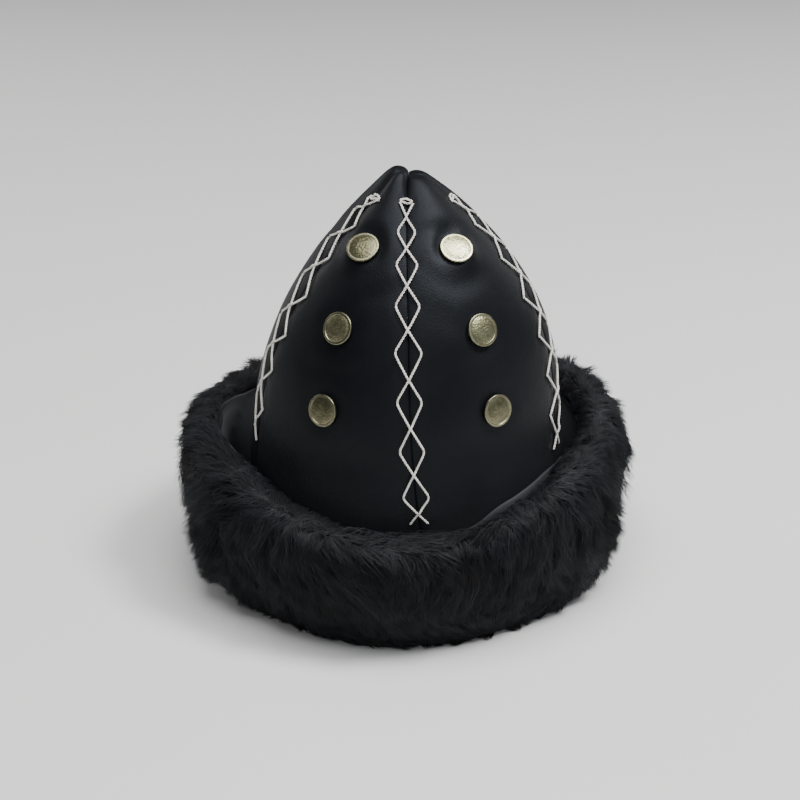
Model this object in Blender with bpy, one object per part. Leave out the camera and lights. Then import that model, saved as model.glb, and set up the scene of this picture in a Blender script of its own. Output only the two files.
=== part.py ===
"""A pointed leather hat with a turned-up fur cuff, at its real size in metres.

Four leather gores make the crown, with three brass studs through each. The cuff is a band of fur that stands up
round the foot of the crown, faced with leather on the side towards it. -Y is the front and +Z is up, and left and
right are as seen from the front, so right is +X. The hat stands on its cuff at z = 0.
"""

import math
import random
from collections import namedtuple

import bmesh
import bpy
from mathutils import Matrix, Vector

# Walls, and the clearance between neighbouring pieces
LEATHER = 0.002
GAP = 0.0003

# The crown stands a little to the right of the middle of the cuff
CROWN_AXIS = Vector((0.004, 0.0, 0.0))

# One row for each level of the crown, from the hem to the tip, with the radius and height at a seam and at the
# middle of a panel: the panels are flatter than the seams low down and puff up past them at the tip. Lean is how
# far the crown bends to the right there.
Level = namedtuple("Level", "seam_radius seam_height panel_radius panel_height lean")
CROWN_LEVELS = (
    Level(0.0940, 0.0023, 0.0932, 0.0023, 0.0000),
    Level(0.0938, 0.0340, 0.0926, 0.0340, 0.0000),
    Level(0.0928, 0.0670, 0.0910, 0.0670, 0.0000),
    Level(0.0905, 0.0990, 0.0880, 0.0990, 0.0002),
    Level(0.0862, 0.1300, 0.0832, 0.1300, 0.0014),
    Level(0.0762, 0.1600, 0.0740, 0.1610, 0.0026),
    Level(0.0602, 0.1870, 0.0588, 0.1890, 0.0028),
    Level(0.0405, 0.2105, 0.0405, 0.2125, 0.0020),
    Level(0.0205, 0.2285, 0.0218, 0.2318, 0.0010),
    Level(0.0065, 0.2385, 0.0092, 0.2428, 0.0008),
    Level(0.0000, 0.2392, 0.0000, 0.2392, 0.0008),
)
PANEL_FULLNESS = 1.3
SEAM_CROWDING = 0.5
GORE_ACROSS = 12
GORE_UP = 20

# The seams lie in a shallow groove, which fades out at the tip
SEAM_DIP = 0.0012
SEAM_DIP_WIDTH = 0.005
SEAM_DIP_FADE = 0.030

# Azimuth of each seam in degrees from the front, at the hem, half way up and at the tip
Seam = namedtuple("Seam", "hem middle tip")
SEAM_LEFT = Seam(-73, -69.5, -67)
SEAM_FRONT = Seam(7.5, -1.6, -5.0)
SEAM_RIGHT = Seam(66, 73.5, 98)
SEAM_BACK = Seam(180, 180, 180)
FULL_TURN = 360

# The four gores, and how much lower the lobe of each stands at the tip
Gore = namedtuple("Gore", "name first last stud_from_last tip_drop")
GORES = (
    Gore("front_left", SEAM_LEFT, SEAM_FRONT, True, 0.0),
    Gore("front_right", SEAM_FRONT, SEAM_RIGHT, False, 0.003),
    Gore("back_right", SEAM_RIGHT, SEAM_BACK, True, 0.003),
    Gore("back_left", SEAM_BACK, Seam(*(azimuth + FULL_TURN for azimuth in SEAM_LEFT)), False, 0.0),
)
TIP_DROP_FROM = 0.74
TIP_DROP_FULL = 0.90
TIP_DROP_TO = 0.92

# Studs: a cap outside, a post through a hole in the leather, and a small washer inside
STUD_RADIUS = 0.009
STUD_EDGE = 0.0012
STUD_RISE = 0.0026
STUD_SHOULDER_RADIUS = 0.0050
STUD_SHOULDER_RISE = 0.0024
STUD_BROW_RISE = 0.0014
STUD_POST_RADIUS = 0.002
STUD_WASHER_RADIUS = 0.0045
STUD_WASHER_THICKNESS = 0.0008
STUD_WASHER_GAP = 0.0009
STUD_SIDES = 14
PUNCH_LENGTH = 0.010
STUD_PLACING_STEPS = 30

# Height of each stud and its distance along the leather from the front or back seam, to its left and to its right
StudPlace = namedtuple("StudPlace", "name height left_of_seam right_of_seam")
STUD_PLACES = (
    StudPlace("low", 0.1285, 0.0497, 0.0497),
    StudPlace("middle", 0.1710, 0.0400, 0.0413),
    StudPlace("high", 0.2090, 0.0253, 0.0281),
)

# One row for each azimuth of the cuff: height and radius of the leather rim about the crown's axis, height of the
# fur's crest above it, depth of the fur outside it, and tuck, the share by which it draws in under itself there or,
# below zero, spreads
CuffPlace = namedtuple("CuffPlace", "azimuth rim_height rim_radius crest fur_depth tuck")
CUFF_PLACES = (
    CuffPlace(-180, 0.080, 0.1030, 0.011, 0.022, 0.20),
    CuffPlace(-135, 0.083, 0.1060, 0.012, 0.023, 0.05),
    CuffPlace(-90, 0.087, 0.1070, 0.007, 0.024, -0.05),
    CuffPlace(-65, 0.082, 0.0985, 0.005, 0.029, -0.02),
    CuffPlace(-38, 0.070, 0.0948, 0.006, 0.029, 0.55),
    CuffPlace(-10, 0.061, 0.0940, 0.006, 0.028, 0.68),
    CuffPlace(20, 0.064, 0.0938, 0.006, 0.026, 0.75),
    CuffPlace(38, 0.074, 0.0942, 0.007, 0.026, 0.60),
    CuffPlace(65, 0.084, 0.0967, 0.009, 0.025, -0.05),
    CuffPlace(90, 0.087, 0.1005, 0.013, 0.026, -0.06),
    CuffPlace(135, 0.083, 0.1040, 0.016, 0.027, 0.00),
    CuffPlace(180, 0.080, 0.1030, 0.011, 0.022, 0.20),
)
CUFF_FOOT_RADIUS = 0.0970
CUFF_FLANGE_RADIUS = 0.0905
CUFF_COLUMNS = 56

# Section of the leather facing above its flange, as shares of the rim's height and of its spread from the foot
FacingStation = namedtuple("FacingStation", "level spread")
FACING_STATIONS = (
    FacingStation(0.00, 0.00),
    FacingStation(0.25, 0.10),
    FacingStation(0.50, 0.35),
    FacingStation(0.75, 0.68),
    FacingStation(1.00, 1.00),
)

# Section of the fur from the foot of the facing out along the floor, up, and over the rim: level is 0 at the floor,
# 1 at the rim and 2 at the crest, reach is a share of the fur's depth, and lock is how far the locks after this
# station stand out
FurStation = namedtuple("FurStation", "level reach lock")
FUR_STATIONS = (
    FurStation(0.00, 0.00, 0.000),
    FurStation(0.00, 0.24, 0.001),
    FurStation(0.04, 0.58, 0.003),
    FurStation(0.15, 0.88, 0.005),
    FurStation(0.34, 1.04, 0.006),
    FurStation(0.56, 1.07, 0.008),
    FurStation(0.78, 1.09, 0.009),
    FurStation(0.96, 0.99, 0.009),
    FurStation(1.72, 0.78, 0.008),
    FurStation(2.00, 0.36, 0.006),
    FurStation(1.30, 0.02, 0.000),
)
LOCK_SPREAD = 0.0025
LOCK_LOWEST = 0.001
LOCK_SEED = 7

MERGE = 0.00001
SMOOTH_ANGLE = math.radians(40)

LEATHER_BLACK = ("leather_black", (0.012, 0.012, 0.013), 0.42, 0.0)
LEATHER_FACING = ("leather_facing", (0.030, 0.030, 0.032), 0.50, 0.0)
FUR_BLACK = ("fur_black", (0.010, 0.010, 0.012), 0.75, 0.0)
BRASS = ("brass", (0.42, 0.36, 0.22), 0.38, 1.0)


def clear_scene():
    for old in list(bpy.data.objects):
        bpy.data.objects.remove(old, do_unlink=True)


def material(finish):
    name, colour, roughness, metallic = finish
    made = bpy.data.materials.get(name) or bpy.data.materials.new(name)
    made.use_nodes = True
    shader = made.node_tree.nodes["Principled BSDF"]
    shader.inputs["Base Color"].default_value = (*colour, 1.0)
    shader.inputs["Roughness"].default_value = roughness
    shader.inputs["Metallic"].default_value = metallic
    return made


def mix(first, last, share):
    return first + (last - first) * share


def ramp(share):
    """A smooth rise from 0 to 1."""
    share = min(max(share, 0.0), 1.0)
    return share * share * (3 - 2 * share)


def smooth_through(values, place):
    """The value at place, 0 to 1, on a smooth curve through evenly spaced values."""
    spans = len(values) - 1
    span = min(int(place * spans), spans - 1)
    share = place * spans - span
    start, end = values[span], values[span + 1]
    before = values[max(span - 1, 0)]
    after = values[min(span + 2, spans)]
    start_slope = (end - before) / 2
    end_slope = (after - start) / 2
    square = share * share
    cube = square * share
    rise = 3 * square - 2 * cube
    return mix(start, end, rise) + start_slope * (cube - 2 * square + share) + end_slope * (cube - square)


def seam_azimuth(seam, up):
    """Azimuth of a seam in radians at a share of the way up."""
    return math.radians(smooth_through(seam, up))


def on_crown(azimuth, radius, height, lean=0.0):
    return CROWN_AXIS + Vector((lean + radius * math.sin(azimuth), -radius * math.cos(azimuth), height))


def gore_point(gore, across, up):
    """A point of the outer face of a gore, by its share of the way across and of the way up."""
    level = Level(*(smooth_through(column, up) for column in zip(*CROWN_LEVELS)))
    first, last = seam_azimuth(gore.first, up), seam_azimuth(gore.last, up)
    fullness = math.sin(math.pi * across) ** PANEL_FULLNESS if 0 < across < 1 else 0.0
    radius = mix(level.seam_radius, level.panel_radius, fullness)
    from_seam = min(across, 1 - across) * (last - first) * radius
    dip = SEAM_DIP * min(radius / SEAM_DIP_FADE, 1.0) * math.exp(-((from_seam / SEAM_DIP_WIDTH) ** 2))
    dropping = ramp((up - TIP_DROP_FROM) / (TIP_DROP_FULL - TIP_DROP_FROM))
    dropped = gore.tip_drop * dropping * (1 - ramp((up - TIP_DROP_TO) / (1 - TIP_DROP_TO)))
    height = mix(level.seam_height, level.panel_height - dropped, fullness)
    return on_crown(mix(first, last, across), radius - dip, height, level.lean)


def seam_spaced(share):
    """A share of the way across a gore, drawn towards its seams."""
    return mix(share, (1 - math.cos(math.pi * share)) / 2, SEAM_CROWDING)


def gore_shift(gore):
    """How far a gore stands out along its middle to leave the clearance at its two seams."""
    middle = mix(seam_azimuth(gore.first, 0.5), seam_azimuth(gore.last, 0.5), 0.5)
    half_turn = (seam_azimuth(gore.last, 0.5) - seam_azimuth(gore.first, 0.5)) / 2
    return Vector((math.sin(middle), -math.cos(middle), 0.0)) * (GAP / 2 / math.sin(half_turn))


def mapped_grid(columns, rows, place):
    """A sheet of columns by rows faces, each corner set by place(share of columns, share of rows).

    Each face keeps the number of its row in the layer that is returned with the sheet.
    """
    sheet = bmesh.new()
    bmesh.ops.create_grid(sheet, x_segments=columns, y_segments=rows, size=0.5)
    row_layer = sheet.faces.layers.int.new("row")
    for face in sheet.faces:
        face[row_layer] = int((face.calc_center_median().y + 0.5) * rows)
    for corner in sheet.verts:
        corner.co = place(corner.co.x + 0.5, corner.co.y + 0.5)
    bmesh.ops.remove_doubles(sheet, verts=sheet.verts, dist=MERGE)
    return sheet, row_layer


def finished_mesh(name, shape):
    mesh = bpy.data.meshes.new(name)
    shape.to_mesh(mesh)
    shape.free()
    return mesh


def add_object(name, mesh, finish, smooth=True):
    made = bpy.data.objects.new(name, mesh)
    bpy.context.scene.collection.objects.link(made)
    mesh.materials.append(material(finish))
    if smooth:
        mesh.shade_smooth()
        mesh.set_sharp_from_angle(angle=SMOOTH_ANGLE)
    return made


def make_wall(piece):
    """Give a sheet the thickness of the leather, inwards from its face."""
    wall = piece.modifiers.new("wall", "SOLIDIFY")
    wall.thickness = LEATHER
    wall.offset = -1.0
    wall.use_even_offset = True
    wall.use_quality_normals = True


def make_gore(gore):
    name = f"gore_{gore.name}"
    sheet, _ = mapped_grid(GORE_ACROSS, GORE_UP, lambda across, up: gore_point(gore, seam_spaced(across), up))
    piece = add_object(name, finished_mesh(name, sheet), LEATHER_BLACK)
    piece.location = gore_shift(gore)
    make_wall(piece)
    return piece


def stud_shares(gore, place):
    """The share of the way across and up a gore where a stud goes, from its real height and place."""
    from_seam = place.left_of_seam if gore.stud_from_last else place.right_of_seam
    low, high = 0.0, 1.0
    for _ in range(STUD_PLACING_STEPS):
        up = (low + high) / 2
        first, last = seam_azimuth(gore.first, up), seam_azimuth(gore.last, up)
        level = Level(*(smooth_through(column, up) for column in zip(*CROWN_LEVELS)))
        across = from_seam / (level.panel_radius * (last - first))
        across = 1 - across if gore.stud_from_last else across
        if gore_point(gore, across, up).z < place.height:
            low = up
        else:
            high = up
    return across, up


def stud_frame(gore, place):
    """Where a stud sits on a gore, with its own z along the outward normal."""
    across, up = stud_shares(gore, place)
    step = 0.02
    around = gore_point(gore, across + step, up) - gore_point(gore, across - step, up)
    upwards = gore_point(gore, across, up + step) - gore_point(gore, across, up - step)
    outward = around.cross(upwards).normalized()
    side = upwards.cross(outward).normalized()
    turn = Matrix((side, outward.cross(side), outward)).transposed().to_4x4()
    return Matrix.Translation(gore_point(gore, across, up)) @ turn


def stud_profile():
    """Radius and height of the stud from the top of its cap to the foot of its washer."""
    washer_top = -(LEATHER + STUD_WASHER_GAP)
    washer_foot = washer_top - STUD_WASHER_THICKNESS
    return (
        (0.0, GAP + STUD_RISE),
        (STUD_SHOULDER_RADIUS, GAP + STUD_SHOULDER_RISE),
        (STUD_RADIUS - STUD_EDGE / 2, GAP + STUD_BROW_RISE),
        (STUD_RADIUS, GAP + STUD_EDGE / 2),
        (STUD_RADIUS - STUD_EDGE / 2, GAP),
        (STUD_POST_RADIUS, GAP),
        (STUD_POST_RADIUS, washer_top),
        (STUD_WASHER_RADIUS, washer_top),
        (STUD_WASHER_RADIUS, washer_foot),
        (0.0, washer_foot),
    )


def stud_mesh(name):
    turned = bmesh.new()
    corners = [turned.verts.new((radius, 0.0, height)) for radius, height in stud_profile()]
    edges = [turned.edges.new(pair) for pair in zip(corners, corners[1:])]
    bmesh.ops.spin(
        turned,
        geom=corners + edges,
        cent=(0, 0, 0),
        axis=(0, 0, 1),
        angle=math.tau,
        steps=STUD_SIDES,
        use_merge=False,
    )
    bmesh.ops.remove_doubles(turned, verts=turned.verts, dist=MERGE)
    bmesh.ops.recalc_face_normals(turned, faces=turned.faces)
    return finished_mesh(name, turned)


def make_studs(gore, piece):
    """Three studs on a gore, and the holes that they go through."""
    punches = bmesh.new()
    for place in STUD_PLACES:
        frame = stud_frame(gore, place)
        name = f"stud_{gore.name}_{place.name}"
        stud = add_object(name, stud_mesh(name), BRASS)
        stud.matrix_world = frame
        stud.parent = piece
        bmesh.ops.create_cone(
            punches,
            cap_ends=True,
            segments=STUD_SIDES,
            radius1=STUD_POST_RADIUS + GAP,
            radius2=STUD_POST_RADIUS + GAP,
            depth=PUNCH_LENGTH,
            matrix=frame,
        )
    name = f"punch_{gore.name}"
    punch = add_object(name, finished_mesh(name, punches), BRASS, smooth=False)
    punch.parent = piece
    punch.hide_render = True
    punch.display_type = "WIRE"
    holes = piece.modifiers.new("stud_holes", "BOOLEAN")
    holes.operation = "DIFFERENCE"
    holes.solver = "EXACT"
    holes.object = punch


def cuff_place(turn):
    """The cuff's sizes at a share of a full turn, counted from the back."""
    azimuth = mix(-180.0, 180.0, turn)
    for first, last in zip(CUFF_PLACES, CUFF_PLACES[1:]):
        if azimuth <= last.azimuth:
            break
    share = (azimuth - first.azimuth) / (last.azimuth - first.azimuth)
    eased = share * share * (3 - 2 * share)
    return CuffPlace(math.radians(azimuth), *(mix(a, b, eased) for a, b in zip(first[1:], last[1:])))


def facing_radius(place, level):
    """Radius of the crown side of the facing at a share of the rim's height."""
    levels = [station.level for station in FACING_STATIONS]
    spreads = [station.spread for station in FACING_STATIONS]
    spread = spreads[-1]
    for low, high, start, end in zip(levels, levels[1:], spreads, spreads[1:]):
        if level <= high:
            spread = mix(start, end, (level - low) / (high - low))
            break
    return mix(CUFF_FOOT_RADIUS, place.rim_radius, spread)


def facing_point(turn, along):
    """A point of the facing's crown side: its flange first, then its wall from foot to rim."""
    place = cuff_place(turn)
    row = round(along * len(FACING_STATIONS))
    if row == 0:
        return on_crown(place.azimuth, CUFF_FLANGE_RADIUS, LEATHER)
    station = FACING_STATIONS[row - 1]
    height = mix(LEATHER, place.rim_height, station.level)
    return on_crown(place.azimuth, facing_radius(place, station.level), height)


def make_facing():
    sheet, _ = mapped_grid(CUFF_COLUMNS, len(FACING_STATIONS), facing_point)
    bmesh.ops.reverse_faces(sheet, faces=sheet.faces)
    make_wall(add_object("cuff_facing", finished_mesh("cuff_facing", sheet), LEATHER_FACING))


def fur_section():
    """The stations of the fur's closed section: outside first, then back down its leather side."""
    leather_side = [FurStation(station.level, 0.0, 0.0) for station in reversed(FACING_STATIONS[1:])]
    return (*FUR_STATIONS, *leather_side, FUR_STATIONS[0])


def fur_point(turn, along):
    """A point of the fur's backing, with every other row of locks set half a lock round."""
    section = fur_section()
    row = round(along * (len(section) - 1))
    station = section[row]
    if station.lock and row % 2:
        turn = turn + 0.5 / CUFF_COLUMNS
    place = cuff_place(turn if turn <= 1 else turn - 1)
    leather_side = facing_radius(place, station.level) + LEATHER + GAP
    tucked = 1 - place.tuck * max(1 - station.level, 0)
    radius = leather_side + station.reach * place.fur_depth * tucked
    height = min(station.level, 1) * place.rim_height + max(station.level - 1, 0) * place.crest
    return on_crown(place.azimuth, radius, height)


def make_fur():
    """The fur: a closed ring whose outer cells are each drawn out into a lock."""
    sheet, row_layer = mapped_grid(CUFF_COLUMNS, len(fur_section()) - 1, fur_point)
    bmesh.ops.recalc_face_normals(sheet, faces=sheet.faces)
    luck = random.Random(LOCK_SEED)
    for row, station in enumerate(FUR_STATIONS):
        if station.lock:
            cells = [face for face in sheet.faces if face[row_layer] == row]
            tips = bmesh.ops.poke(sheet, faces=cells, offset=station.lock)["verts"]
            spread = min(LOCK_SPREAD, station.lock / 2)
            for tip in tips:
                tip.co += Vector([luck.uniform(-spread, spread) for _ in range(3)])
                tip.co.z = max(tip.co.z, LOCK_LOWEST)
    add_object("fur_cuff", finished_mesh("fur_cuff", sheet), FUR_BLACK, smooth=False)


def main():
    clear_scene()
    for gore in GORES:
        make_studs(gore, make_gore(gore))
    make_facing()
    make_fur()


main()
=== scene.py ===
"""The looks of a pointed black leather hat with brass studs, laced seams and a turned-up fur cuff.

-Y is the front and +Z is up. Left and right are as seen from the front, so right is +X. Sizes are in metres.
"""

import math
from collections import namedtuple

import bpy
import numpy as np
from mathutils import Matrix, Vector


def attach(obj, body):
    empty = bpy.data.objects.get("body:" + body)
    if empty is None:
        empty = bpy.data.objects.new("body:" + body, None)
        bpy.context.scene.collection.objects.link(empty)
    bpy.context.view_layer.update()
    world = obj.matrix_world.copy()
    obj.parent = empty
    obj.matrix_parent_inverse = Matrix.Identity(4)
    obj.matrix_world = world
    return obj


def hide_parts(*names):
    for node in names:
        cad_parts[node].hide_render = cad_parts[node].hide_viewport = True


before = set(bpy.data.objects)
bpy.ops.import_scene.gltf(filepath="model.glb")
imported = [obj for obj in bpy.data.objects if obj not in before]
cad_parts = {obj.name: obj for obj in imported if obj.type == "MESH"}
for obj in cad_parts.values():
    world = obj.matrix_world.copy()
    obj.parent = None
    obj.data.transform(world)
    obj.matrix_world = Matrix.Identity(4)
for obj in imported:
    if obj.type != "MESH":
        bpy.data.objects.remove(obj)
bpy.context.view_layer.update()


def table(columns, *rows):
    """A short table: rows of values under named columns."""
    row_type = namedtuple("Row", columns)
    return [row_type(*row) for row in rows]


# The camera looks down on the hat from the front
CAMERA_DISTANCE = 1.0
CAMERA_ELEVATION = math.radians(25)
CAMERA_TARGET = Vector((0.0, 0.0, 0.11))
CAMERA_DIP = math.radians(0.395)
CAMERA_LENS = 77.4
CAMERA_NEAREST = 0.01

# The studio: soft round lights that all face the hat, a pale sky and a pale floor
WHITE = (1.0, 1.0, 1.0)
LIGHTS = table(
    "name place size power colour",
    ("light_overhead", (0.0, -0.30, 1.9), 1.5, 36.0, WHITE),
    ("light_front", (-0.15, -1.7, 0.75), 1.0, 5.0, WHITE),
    ("light_key", (0.95, -0.25, 1.75), 0.6, 34.0, WHITE),
    ("light_right", (1.5, -1.05, 1.05), 0.8, 2.0, (0.80, 0.88, 1.0)),
    ("light_back_left", (-1.3, 1.1, 0.75), 1.0, 7.0, WHITE),
    ("light_back_right", (1.3, 1.1, 0.75), 1.0, 5.0, WHITE),
)
LIGHT_TARGET = Vector((0.0, 0.0, 0.1))
SKY_COLOUR = (0.86, 0.88, 0.90)
SKY_STRENGTH = 0.12
FLOOR_COLOUR = (0.80, 0.80, 0.79)
FLOOR_SIZE = 12.0

# The leathers: colours where dark and light and of their painted light, roughness where smooth and rough,
# grain and gloss
Leather = namedtuple("Leather", "name dark light worn smooth rough grain gloss")
CROWN_LEATHER = Leather(
    "crown_leather",
    (0.0030, 0.0032, 0.0040), (0.0052, 0.0056, 0.0070), (0.015, 0.016, 0.018), 0.42, 0.54, 0.3, 0.16,
)
CROWN_INSIDE = Leather(
    "crown_leather_inside",
    (0.035, 0.033, 0.031), (0.075, 0.070, 0.066), None, 0.75, 0.90, 0.8, 0.30,
)
FACING_LEATHER = Leather(
    "facing_leather",
    (0.007, 0.0075, 0.009), (0.012, 0.0125, 0.0145), (0.170, 0.172, 0.180), 0.75, 0.85, 0.5, 0.12,
)

# Thickness of the leather, gap between neighbours, gap at a seam, and distance at which corners join
LEATHER = 0.002
GAP = 0.0003
SEAM_GAP = 0.00004
MERGE = 0.00001
FULL_TURN = 360

# The crown stands a little to the right of the middle of the cuff
CROWN_X = 0.004

# The levels of the crown, from hem to tip: radius and height at a seam and in the middle of a panel, and
# how far the crown bends to the right there
CROWN_LEVELS = table(
    "seam_radius seam_height panel_radius panel_height lean",
    (0.0940, 0.0023, 0.0932, 0.0023, 0.0000),
    (0.0938, 0.0340, 0.0926, 0.0340, 0.0000),
    (0.0928, 0.0670, 0.0908, 0.0670, 0.0000),
    (0.0907, 0.0990, 0.0873, 0.0990, 0.0002),
    (0.0864, 0.1300, 0.0822, 0.1300, 0.0014),
    (0.0764, 0.1600, 0.0728, 0.1610, 0.0026),
    (0.0603, 0.1870, 0.0577, 0.1890, 0.0028),
    (0.0405, 0.2105, 0.0400, 0.2125, 0.0020),
    (0.0205, 0.2285, 0.0218, 0.2318, 0.0010),
    (0.0065, 0.2385, 0.0092, 0.2428, 0.0008),
    (0.0000, 0.2392, 0.0000, 0.2392, 0.0008),
)
PANEL_FULLNESS = 1.05
TIP_FULLNESS = 0.6
TIP_FULLNESS_FROM = 0.70
TIP_FULLNESS_OVER = 0.25
HALVINGS = 30
GORE_STEP = 0.01
GORE_ACROSS = 44
GORE_UP = 84
SEAM_CROWDING = 0.62

# The seams lie in a shallow groove, which fades out at the tip, and the cut edges of the leather round over
SEAM_DIP = 0.0012
SEAM_DIP_WIDTH = 0.005
SEAM_DIP_FADE = 0.030
EDGE_ROUND = 0.0005
EDGE_ROUND_WIDTH = 0.0010

# Azimuth of each seam in degrees from the front, at the hem, half way up and at the tip
Seam = namedtuple("Seam", "hem middle tip")
SEAM_LEFT = Seam(-73, -69.5, -67)
SEAM_FRONT = Seam(7.5, -1.6, -5.0)
SEAM_RIGHT = Seam(66, 73.5, 98)
SEAM_BACK = Seam(180, 180, 180)
SEAM_LEFT_AGAIN = Seam(*(azimuth + FULL_TURN for azimuth in SEAM_LEFT))

# The four gores, and how much lower the lobe of each stands at the tip
Gore = namedtuple("Gore", "name first last stud_from_last tip_drop")
FRONT_LEFT = Gore("front_left", SEAM_LEFT, SEAM_FRONT, True, 0.0)
FRONT_RIGHT = Gore("front_right", SEAM_FRONT, SEAM_RIGHT, False, 0.0030)
BACK_RIGHT = Gore("back_right", SEAM_RIGHT, SEAM_BACK, True, 0.0030)
BACK_LEFT = Gore("back_left", SEAM_BACK, SEAM_LEFT_AGAIN, False, 0.0)
GORES = (FRONT_LEFT, FRONT_RIGHT, BACK_RIGHT, BACK_LEFT)
TIP_DROP_FROM = 0.74
TIP_DROP_FULL = 0.90
TIP_DROP_TO = 0.92

# Soft folds in the leather: the middle of each as its height and its distance from the gore's first seam,
# its half length, half width and depth, its turn in degrees from level, and how far its ends bow down
FOLDS = table(
    "gore height from_first length width depth turn bow",
    (FRONT_RIGHT, 0.2195, 0.0225, 0.019, 0.0034, 0.0018, -4, 0.005),
    (FRONT_RIGHT, 0.1935, 0.0290, 0.018, 0.0044, 0.0009, -8, -0.004),
    (FRONT_RIGHT, 0.1780, 0.0220, 0.016, 0.0050, 0.0004, -28, 0.003),
    (FRONT_RIGHT, 0.1600, 0.034, 0.030, 0.0060, 0.0008, 10, 0.004),
    (FRONT_RIGHT, 0.1100, 0.050, 0.034, 0.0090, 0.0009, -12, 0.006),
    (FRONT_LEFT, 0.1900, 0.048, 0.020, 0.0050, 0.0009, 24, 0.004),
    (FRONT_LEFT, 0.1500, 0.060, 0.026, 0.0070, 0.0008, 14, -0.004),
    (FRONT_LEFT, 0.1020, 0.070, 0.032, 0.0090, 0.0009, 8, 0.006),
    (BACK_RIGHT, 0.1900, 0.050, 0.022, 0.0050, 0.0010, -15, 0.004),
    (BACK_RIGHT, 0.1400, 0.080, 0.034, 0.0080, 0.0009, 12, 0.006),
    (BACK_LEFT, 0.2050, 0.045, 0.018, 0.0045, 0.0010, 12, 0.004),
    (BACK_LEFT, 0.1450, 0.075, 0.032, 0.0080, 0.0009, -10, -0.005),
)

# The studs: their height, their distance from the front or back seam and how brightly each is painted as
# lit, to the left and right of that seam, and how many degrees their faces are turned up and towards it
STUD_PLACES = table(
    "name height left_of_seam right_of_seam left_shine right_shine turned_up turned_in",
    ("low", 0.1285, 0.0497, 0.0497, 0.04, 0.10, 0, 0),
    ("middle", 0.1710, 0.0400, 0.0413, 0.20, 0.25, 0, 0),
    ("high", 0.2090, 0.0253, 0.0281, 0.06, 1.00, 15, 11),
)
STUD_SIDES = 48
STUD_RADIUS = 0.009
STUD_SIDE = 0.0016
STUD_RIM = 0.0013
STUD_RIM_ROUND = 0.00045
STUD_STEP = 0.0003
STUD_DOME = ((0.0012, 0.0004), (0.0020, 0.0004), (0.0020, 0.0002))
STUD_POST_RADIUS = 0.002
STUD_WASHER_RADIUS = 0.0045
STUD_WASHER_THICKNESS = 0.0008
STUD_WASHER_GAP = 0.0009
STUD_TRIES = 8

# Each stud is pressed into the leather, which puffs up a little round it and lies flat under a turned stud
STUD_FLAT = 0.012
STUD_PRESS = 0.0005
STUD_PRESS_WIDTH = 0.0040
STUD_PUFF = 0.0001
STUD_PUFF_AT = 0.018
STUD_PUFF_WIDTH = 0.0045

# The holes of the lacing: the height of each pair, and how far its holes stand off the seam
FRONT_HOLES = table(
    "height left right",
    (0.2290, 0.0041, 0.0041),
    (0.2170, 0.0051, 0.0051),
    (0.2035, 0.0059, 0.0059),
    (0.1855, 0.0065, 0.0065),
    (0.1642, 0.0071, 0.0071),
    (0.1400, 0.0066, 0.0066),
    (0.1135, 0.0066, 0.0066),
    (0.0870, 0.0071, 0.0071),
    (0.0710, 0.0053, 0.0053),
)
LEFT_HOLES = table(
    "height left right",
    (0.2275, 0.0040, 0.0100),
    (0.2180, 0.0070, 0.0070),
    (0.2017, 0.0110, 0.0052),
    (0.1818, 0.0120, 0.0070),
    (0.1601, 0.0120, 0.0066),
    (0.1399, 0.0110, 0.0062),
    (0.1160, 0.0090, 0.0056),
    (0.0946, 0.0040, 0.0030),
)
RIGHT_HOLES = table(
    "height left right",
    (0.2258, 0.0085, 0.0045),
    (0.2136, 0.0086, 0.0086),
    (0.1963, 0.0095, 0.0098),
    (0.1765, 0.0102, 0.0096),
    (0.1565, 0.0101, 0.0096),
    (0.1350, 0.0098, 0.0090),
    (0.1115, 0.0092, 0.0070),
    (0.0890, 0.0060, 0.0030),
)

# The lacings, and how much lower the right hole of each pair but the first is punched than the left one
LACINGS = table(
    "name pairs left_gore right_gore skew",
    ("lacing_front", FRONT_HOLES, FRONT_LEFT, FRONT_RIGHT, 0.0),
    ("lacing_left", LEFT_HOLES, BACK_LEFT, FRONT_LEFT, 0.0062),
    ("lacing_right", RIGHT_HOLES, FRONT_RIGHT, BACK_RIGHT, 0.0),
    ("lacing_back", FRONT_HOLES, BACK_RIGHT, BACK_LEFT, 0.0),
)
LACE_PLY_RADIUS = 0.00037
LACE_PLY_APART = LACE_PLY_RADIUS * 0.9
LACE_PITCH = 0.0034
LACE_STEP = 0.0005
LACE_LEAST_STEPS = 8
LACE_LIFT = 0.0006
LACE_OVER = 0.0008
LACE_SINK = 0.0002
LACE_RISE_LENGTH = 0.0016
LACE_OVER_LENGTH = 0.0022
LACE_TURN_SAMPLES = 7
LACE_LOOP_RISE = 0.0016
LACE_LOOP_IN = 0.6
LACE_ASIDE = (0.13, 0.21, 0.97)
HOLE_DEPTH = 0.0006
HOLE_WIDTH = 0.0016
# Height above the cuff's rim up to which the crown's leather is painted lighter, as painted light against
# the shade by the cuff
PAINTED_LIGHT_HEIGHT = 0.026

# The cuff at azimuths in degrees: height and radius of its leather rim, height of the fur's crest above
# the rim, depth of the fur outside it, and the share by which the fur draws in under itself
CuffPlace = namedtuple("CuffPlace", "azimuth rim_height rim_radius crest fur_depth tuck")
CUFF_PLACES = (
    (-180, 0.080, 0.1030, 0.011, 0.022, 0.20),
    (-135, 0.083, 0.1060, 0.012, 0.023, 0.05),
    (-90, 0.087, 0.1070, 0.007, 0.024, -0.05),
    (-65, 0.082, 0.0985, 0.005, 0.029, -0.02),
    (-38, 0.070, 0.0948, 0.006, 0.029, 0.55),
    (-10, 0.061, 0.0940, 0.006, 0.028, 0.68),
    (20, 0.064, 0.0938, 0.006, 0.026, 0.75),
    (38, 0.074, 0.0942, 0.007, 0.026, 0.60),
    (65, 0.084, 0.0967, 0.009, 0.025, -0.05),
    (90, 0.087, 0.1005, 0.013, 0.026, -0.06),
    (135, 0.083, 0.1040, 0.016, 0.027, 0.00),
    (180, 0.080, 0.1030, 0.011, 0.022, 0.20),
)
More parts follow.
